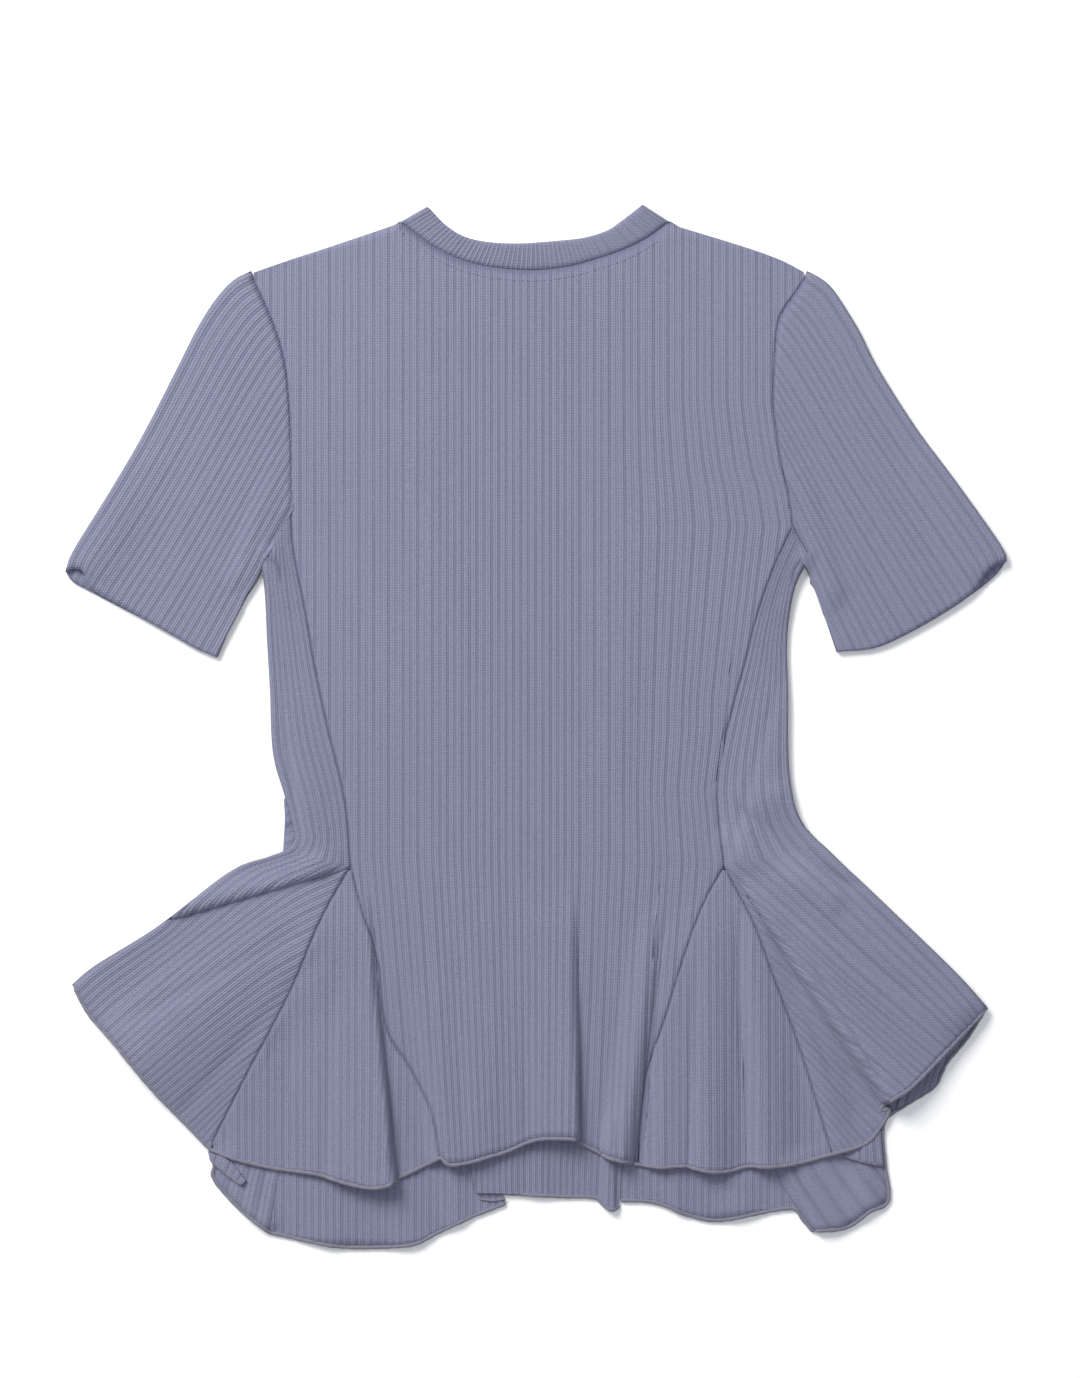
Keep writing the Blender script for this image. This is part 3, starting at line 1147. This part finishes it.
@dataclass
class Neckband:
    """The doubled rib band: one loop, folded over at both neck points and deeper at the front."""

    ribs: int = 58
    across_rows: int = 11

    def sheets(self) -> list[Sheet]:
        """The band's cloth: columns across it, rounded at the top edge and sunk at the seam."""
        phase = rib_shares(self.ribs)
        share = phase / self.ribs
        across = np.linspace(0.0, 1.0, self.across_rows)
        reach = REACH
        seam_back, edge_back = along(CUT.neck_seam, share) + (0.0, 0.4), along(CUT.neck_edge, share)
        back = edge_back[None] + (seam_back - edge_back)[None] * across[:, None, None]
        front_share = rib_shares(40) / 40.0
        seam_front = along(CUT.front_neck_seam, front_share) - (0.0, 0.5)
        edge_front = along(CUT.front_neck_edge, front_share)
        front = edge_front[None] + (seam_front - edge_front)[None] * across[:, None, None]
        ends = []
        for one, two in ((4, 0), (-5, -1)):
            way = seam_back[two] - seam_back[one]
            ends.append(np.broadcast_to(way / np.hypot(*way), (self.across_rows, 2)))
        for grid, at in ((back, share), (front, front_share)):
            grid -= reach * ends[0][:, None] * (1.0 - at)[None, :, None] ** 24
            grid -= reach * ends[1][:, None] * at[None, :, None] ** 24
        crown = np.sqrt(np.clip(1.0 - (2.0 * across - 1.0) ** 2, 0.0, 1.0)) ** 0.6
        lift = (0.0011 * crown - 0.0005)[:, None] + 0.0 * share[None]
        upper = lay(back[..., 0], back[..., 1], Layer.UPPER, np.broadcast_to(phase, back.shape[:2]), BAND_RIB,
                    (Seam(CUT.neck_seam, 1.0, 2.0),), lift)
        turned_front = front[:, ::-1]
        lower = lay(turned_front[..., 0], turned_front[..., 1], Layer.LOWER,
                    np.broadcast_to(rib_shares(40), turned_front.shape[:2]), BAND_RIB)
        right = edge_turn(back[:, -1, 0], back[:, -1, 1], ends[1], 0.0004)
        left = turned(edge_turn(back[:, 0, 0], back[:, 0, 1], ends[0], 0.0004))
        return [beside(upper, right, lower, left)]

    def build(self, wardrobe: Wardrobe) -> None:
        """Make the band and enter it."""
        sheets = self.sheets()
        wardrobe.dress(shell("neckband_rib", sheets, True), "neckband",
                       True)


@dataclass
class Roll:
    """A narrow overlocked hem: a soft roll of thread carried along the cloth's edge."""

    name: str
    path: Path
    layer: Layer
    radius: float = 0.00135
    sides: int = 10
    step: float = 1.6
    lift: float = 0.0

    def build(self, wardrobe: Wardrobe) -> None:
        """A ring of points round each step of the path, at the height of the cloth's middle."""
        count = int(np.hypot(*np.diff(self.path, axis=0).T).sum() / self.step)
        share = np.linspace(0.0, 1.0, count)
        plan = along(self.path, share)
        level = CLOTH.level(self.layer)(plan[:, 0], plan[:, 1])
        wall = CLOTH.wall(plan[:, 0], plan[:, 1], self.layer)
        plan = np.stack(CLOTH.drawn(plan[:, 0], plan[:, 1], self.layer), axis=-1)
        across = outward(plan, 1.0)
        height = np.maximum(level + wall * 0.85, self.radius * 1.02) + self.lift
        uneven = 1.0 + 0.07 * np.sin(share * count * 0.9) + 0.05 * np.sin(share * count * 0.37)
        ends = np.sqrt(np.clip(1.0 - np.abs(2.0 * share - 1.0) ** (count / 2.0), 0.02, 1.0))
        radius = self.radius * uneven * ends
        angle = np.linspace(0.0, 2.0 * np.pi, self.sides, endpoint=False)
        centre = place(plan[:, 0], plan[:, 1], height)
        side_way = np.stack([across[:, 0], -across[:, 1], np.zeros(count)], axis=-1)
        points = centre[:, None] + radius[:, None, None] * (
            side_way[:, None] * np.cos(angle)[None, :, None]
            + np.array((0.0, 0.0, 1.0)) * np.sin(angle)[None, :, None])
        length = np.cumsum(np.concatenate([[0.0], np.linalg.norm(np.diff(centre, axis=0), axis=1)]))
        uv = np.stack(np.broadcast_arrays(length[:, None], angle[None] * self.radius), axis=-1).reshape(-1, 2)
        faces = grid_faces(count, self.sides, True)
        caps = [np.arange(self.sides)[::-1], np.arange(self.sides) + (count - 1) * self.sides]
        item = tube_mesh(self.name, points.reshape(-1, 3), faces, caps, uv)
        wardrobe.trim(item)


def tube_mesh(name: str, points: np.ndarray, quads: np.ndarray, caps: list[np.ndarray],
              uv: np.ndarray) -> bpy.types.Object:
    """A tube's object from its quads and end caps, facing outwards."""
    mesh = bpy.data.meshes.new(name)
    faces = quads.tolist() + [cap.tolist() for cap in caps]
    if signed_volume(points, quads) < 0.0:
        faces = [face[::-1] for face in faces]
    mesh.from_pydata(points.tolist(), [], faces)
    mesh.shade_smooth()
    corner = np.zeros(len(mesh.loops), np.int32)
    mesh.loops.foreach_get("vertex_index", corner)
    mesh.uv_layers.new(name="cloth").data.foreach_set("uv", uv[corner].astype(np.float32).ravel())
    item = bpy.data.objects.new(name, mesh)
    bpy.context.scene.collection.objects.link(item)
    return item


@dataclass
class StitchRow:
    """A row of lockstitches along a path: short thread beads, each sunk at its two ends."""

    name: str
    path: Path
    length: float = 0.0021
    gap: float = 0.0009
    radius: float = 0.00019

    def build(self, wardrobe: Wardrobe) -> None:
        """All the beads at once: rings of six points that swell from each end to the middle."""
        whole = np.hypot(*np.diff(self.path, axis=0).T).sum() * UNIT
        number = int(whole / (self.length + self.gap))
        rings = np.array((0.0, 0.2, 0.5, 0.8, 1.0))
        share = (np.arange(number)[:, None] + rings[None] * self.length / (self.length + self.gap)) / number
        plan = along(self.path, share)
        level = CLOTH.upper(plan[..., 0], plan[..., 1]) + WALL + 0.00045
        arch = np.sin(np.pi * rings)[None]
        centre = place(plan[..., 0], plan[..., 1], level + 0.00012 * arch)
        way = centre[:, -1] - centre[:, 0]
        way = way / np.linalg.norm(way, axis=1)[:, None]
        across = np.stack([-way[:, 1], way[:, 0], np.zeros(number)], axis=-1)
        angle = np.arange(6) * np.pi / 3.0
        size = self.radius * (0.35 + 0.65 * arch)
        ring = (across[:, None, None] * np.cos(angle)[None, None, :, None]
                + np.array((0.0, 0.0, 1.0)) * np.sin(angle)[None, None, :, None])
        points = (centre[:, :, None] + size[:, :, None, None] * ring).reshape(-1, 3)
        one = grid_faces(5, 6, True)
        quads = (one[None] + (np.arange(number) * 30)[:, None, None]).reshape(-1, 4)
        caps = [cap + start for start in range(0, number * 30, 30)
                for cap in (np.arange(6)[::-1], np.arange(6) + 24)]
        uv = points[:, :2]
        wardrobe.trim(tube_mesh(self.name, points, quads, caps, uv))


@dataclass
class Studio:
    """The pale table, the soft light and the camera straight above."""

    camera_height: float = 2.4
    sensor: float = 36.0
    table_colour: str = "#f7f7f7"

    def build_camera(self) -> None:
        """A camera over the picture's middle, whose frame is the picture's height."""
        data = bpy.data.cameras.new("camera")
        data.sensor_fit = "VERTICAL"
        data.sensor_height = self.sensor
        data.lens = self.sensor * self.camera_height / (PICTURE_HEIGHT * UNIT)
        camera = bpy.data.objects.new("camera", data)
        x = (PICTURE_WIDTH / 2.0 - MIDDLE_X) * UNIT
        y = (MIDDLE_Y - PICTURE_HEIGHT / 2.0) * UNIT
        camera.location = (x, y, self.camera_height)
        bpy.context.scene.collection.objects.link(camera)
        bpy.context.scene.camera = camera

    def build_table(self) -> None:
        """A wide plain surface just under the cloth."""
        mesh = bpy.data.meshes.new("table")
        size = 6.0
        mesh.from_pydata([(-size, -size, 0.0), (size, -size, 0.0), (size, size, 0.0), (-size, size, 0.0)], [],
                         [(0, 1, 2, 3)])
        table = bpy.data.objects.new("table", mesh)
        table.location = (0.0, 0.0, -0.0002)
        material = bpy.data.materials.new("matt_white_table")
        material.use_nodes = True
        shader = material.node_tree.nodes["Principled BSDF"]
        shader.inputs["Base Color"].default_value = srgb(self.table_colour)
        shader.inputs["Roughness"].default_value = 0.9
        shader.inputs["Specular IOR Level"].default_value = 0.1
        mesh.materials.append(material)
        bpy.context.scene.collection.objects.link(table)

    def build_light(self) -> None:
        """One large softbox from the upper left, a weaker one opposite and an even room."""
        world = bpy.data.worlds.new("white_room")
        world.use_nodes = True
        back = world.node_tree.nodes["Background"]
        back.inputs[0].default_value = (0.84, 0.885, 1.0, 1.0)
        back.inputs[1].default_value = 0.46
        for name, kind, direction, size, power in (
                ("softbox_key", "AREA", (-1.6, 2.0, 2.0), 1.6, 148.0),
                ("ceiling_fill", "SUN", (0.5, -0.4, 2.4), 1.2, 0.6)):
            data = bpy.data.lights.new(name, kind)
            if kind == "AREA":
                data.size = size
            else:
                data.angle = size
            data.energy = power
            data.color = (1.0, 0.98, 0.94)
            lamp = bpy.data.objects.new(name, data)
            lamp.location = direction
            lamp.rotation_euler = (-Vector(direction)).to_track_quat("-Z", "Y").to_euler()
            bpy.context.scene.collection.objects.link(lamp)
        bpy.context.scene.world = world
        bpy.context.scene.view_settings.view_transform = "Standard"


def godets() -> list[Godet]:
    """The four gussets."""
    return [
        Godet("gusset_back_left", "godet_back_left", Layer.UPPER,
              (CUT.godet_left_side, CUT.godet_left_middle), CUT.hem_left_godet, (0.20, 0.21),
              ["front_panel"]),
        Godet("gusset_back_right", "godet_back_right", Layer.UPPER,
              (CUT.godet_right_side, CUT.godet_right_middle), CUT.hem_right_godet, (0.20, 0.21),
              ["front_panel"]),
        Godet("gusset_front_left", "godet_front_left", Layer.LOWER,
              (CUT.front_side_seam_left, CUT.front_tuck_left), CUT.front_hem_godet_left,
              (0.17, 0.26), ["table"], 34),
        Godet("gusset_front_right", "godet_front_right", Layer.LOWER,
              (CUT.front_side_seam_right, CUT.front_middle_seam_right), CUT.front_hem_godet_right,
              (0.12, 0.26), ["table"], 34),
    ]


def side_panels() -> list[SidePanel]:
    """The two side panels."""
    return [
        SidePanel(Side.LEFT, CUT.edge_left, CUT.flap_edge_left, CUT.princess_left, CUT.pit_left,
                  CUT.flap_rib_left, CUT.flap_hem_left, CUT.godet_left_side, CUT.front_side_seam_left,
                  CUT.front_hem_side_left, [
                      tuck(curve((209, 1151), (230, 1160), (247, 1180)),
                           curve((210, 1158), (225, 1171), (243, 1184)), 6, 0.0022, 0.0004),
                      tuck(curve((286, 796), (292, 812), (296, 830), (296, 850)),
                           curve((284, 800), (285, 818), (284, 838), (283, 856)), 2, 0.0002, 0.0)]),
        SidePanel(Side.RIGHT, CUT.edge_right, CUT.flap_edge_right, CUT.princess_right, CUT.pit_right,
                  CUT.flap_rib_right, CUT.flap_hem_right, CUT.godet_right_side, CUT.front_side_seam_right,
                  CUT.front_hem_side_right, [
                      tuck(curve((834, 1152), (858, 1144), (880, 1128)),
                           curve((837, 1152), (860, 1160), (883, 1166)), 6, 0.0022, 0.0006),
                      tuck(curve((900, 1092), (922, 1076), (944, 1054)),
                           curve((896, 1108), (916, 1097), (935, 1085)), 5, 0.0022, 0.0004)]),
    ]


def hems() -> list[Roll]:
    """The rolled hems of the back and the front, and of the cuffs."""
    side = CUT.front_hem_side_left
    below = side[np.argmin(np.hypot(*(side - (209.0, 1150.0)).T)):]
    return [
        Roll("hem_back", join(CUT.flap_hem_left, CUT.hem_left_godet, CUT.hem_middle, CUT.hem_right_godet,
                              CUT.flap_hem_right[::-1]), Layer.UPPER),
        Roll("hem_front_left", join(below, CUT.front_hem_godet_left), Layer.LOWER),
        Roll("hem_front_middle", CUT.front_hem_middle, Layer.LOWER, lift=0.0),
        Roll("hem_front_right", join(CUT.front_hem_godet_right, CUT.front_hem_side_right[::-1]), Layer.LOWER),
        Roll("hem_tuck_left", curve((210, 1158), (225, 1171), (243, 1184)), Layer.LOWER, 0.001, lift=0.0022),
        Roll("hem_tuck_right", curve((838, 1153), (860, 1160), (883, 1165)), Layer.LOWER, 0.001, lift=0.0022),
        Roll("hem_tuck_middle", curve((479, 1198), (492, 1200), (506, 1198)), Layer.LOWER, 0.0008, lift=0.0012),
    ]


def main() -> None:
    """Build the studio and every piece in order."""
    logging.basicConfig(level=logging.INFO)
    studio = Studio()
    studio.build_camera()
    studio.build_table()
    studio.build_light()
    wardrobe = Wardrobe()
    FrontPanel().build(wardrobe)
    BackPanel().build(wardrobe)
    for godet in godets():
        godet.build(wardrobe)
    for panel in side_panels():
        panel.build(wardrobe)
    Sleeve(Side.LEFT, CUT.sleeve_top_left, CUT.sleeve_under_left, CUT.cuff_left, CUT.cuff_under_left,
           CUT.armhole_left, CUT.pit_left).build(wardrobe)
    Sleeve(Side.RIGHT, CUT.sleeve_top_right, CUT.sleeve_under_right, CUT.cuff_right, CUT.cuff_under_right,
           CUT.armhole_right, CUT.pit_right).build(wardrobe)
    Neckband().build(wardrobe)
    for hem in hems():
        hem.build(wardrobe)
    StitchRow("neck_topstitch", TOPSTITCH).build(wardrobe)
    StitchRow("neck_tack", curve((399, 226), (401, 231), (405, 236)), 0.0026, 0.0004, 0.0005).build(wardrobe)


if __name__ == "__main__":
    main()
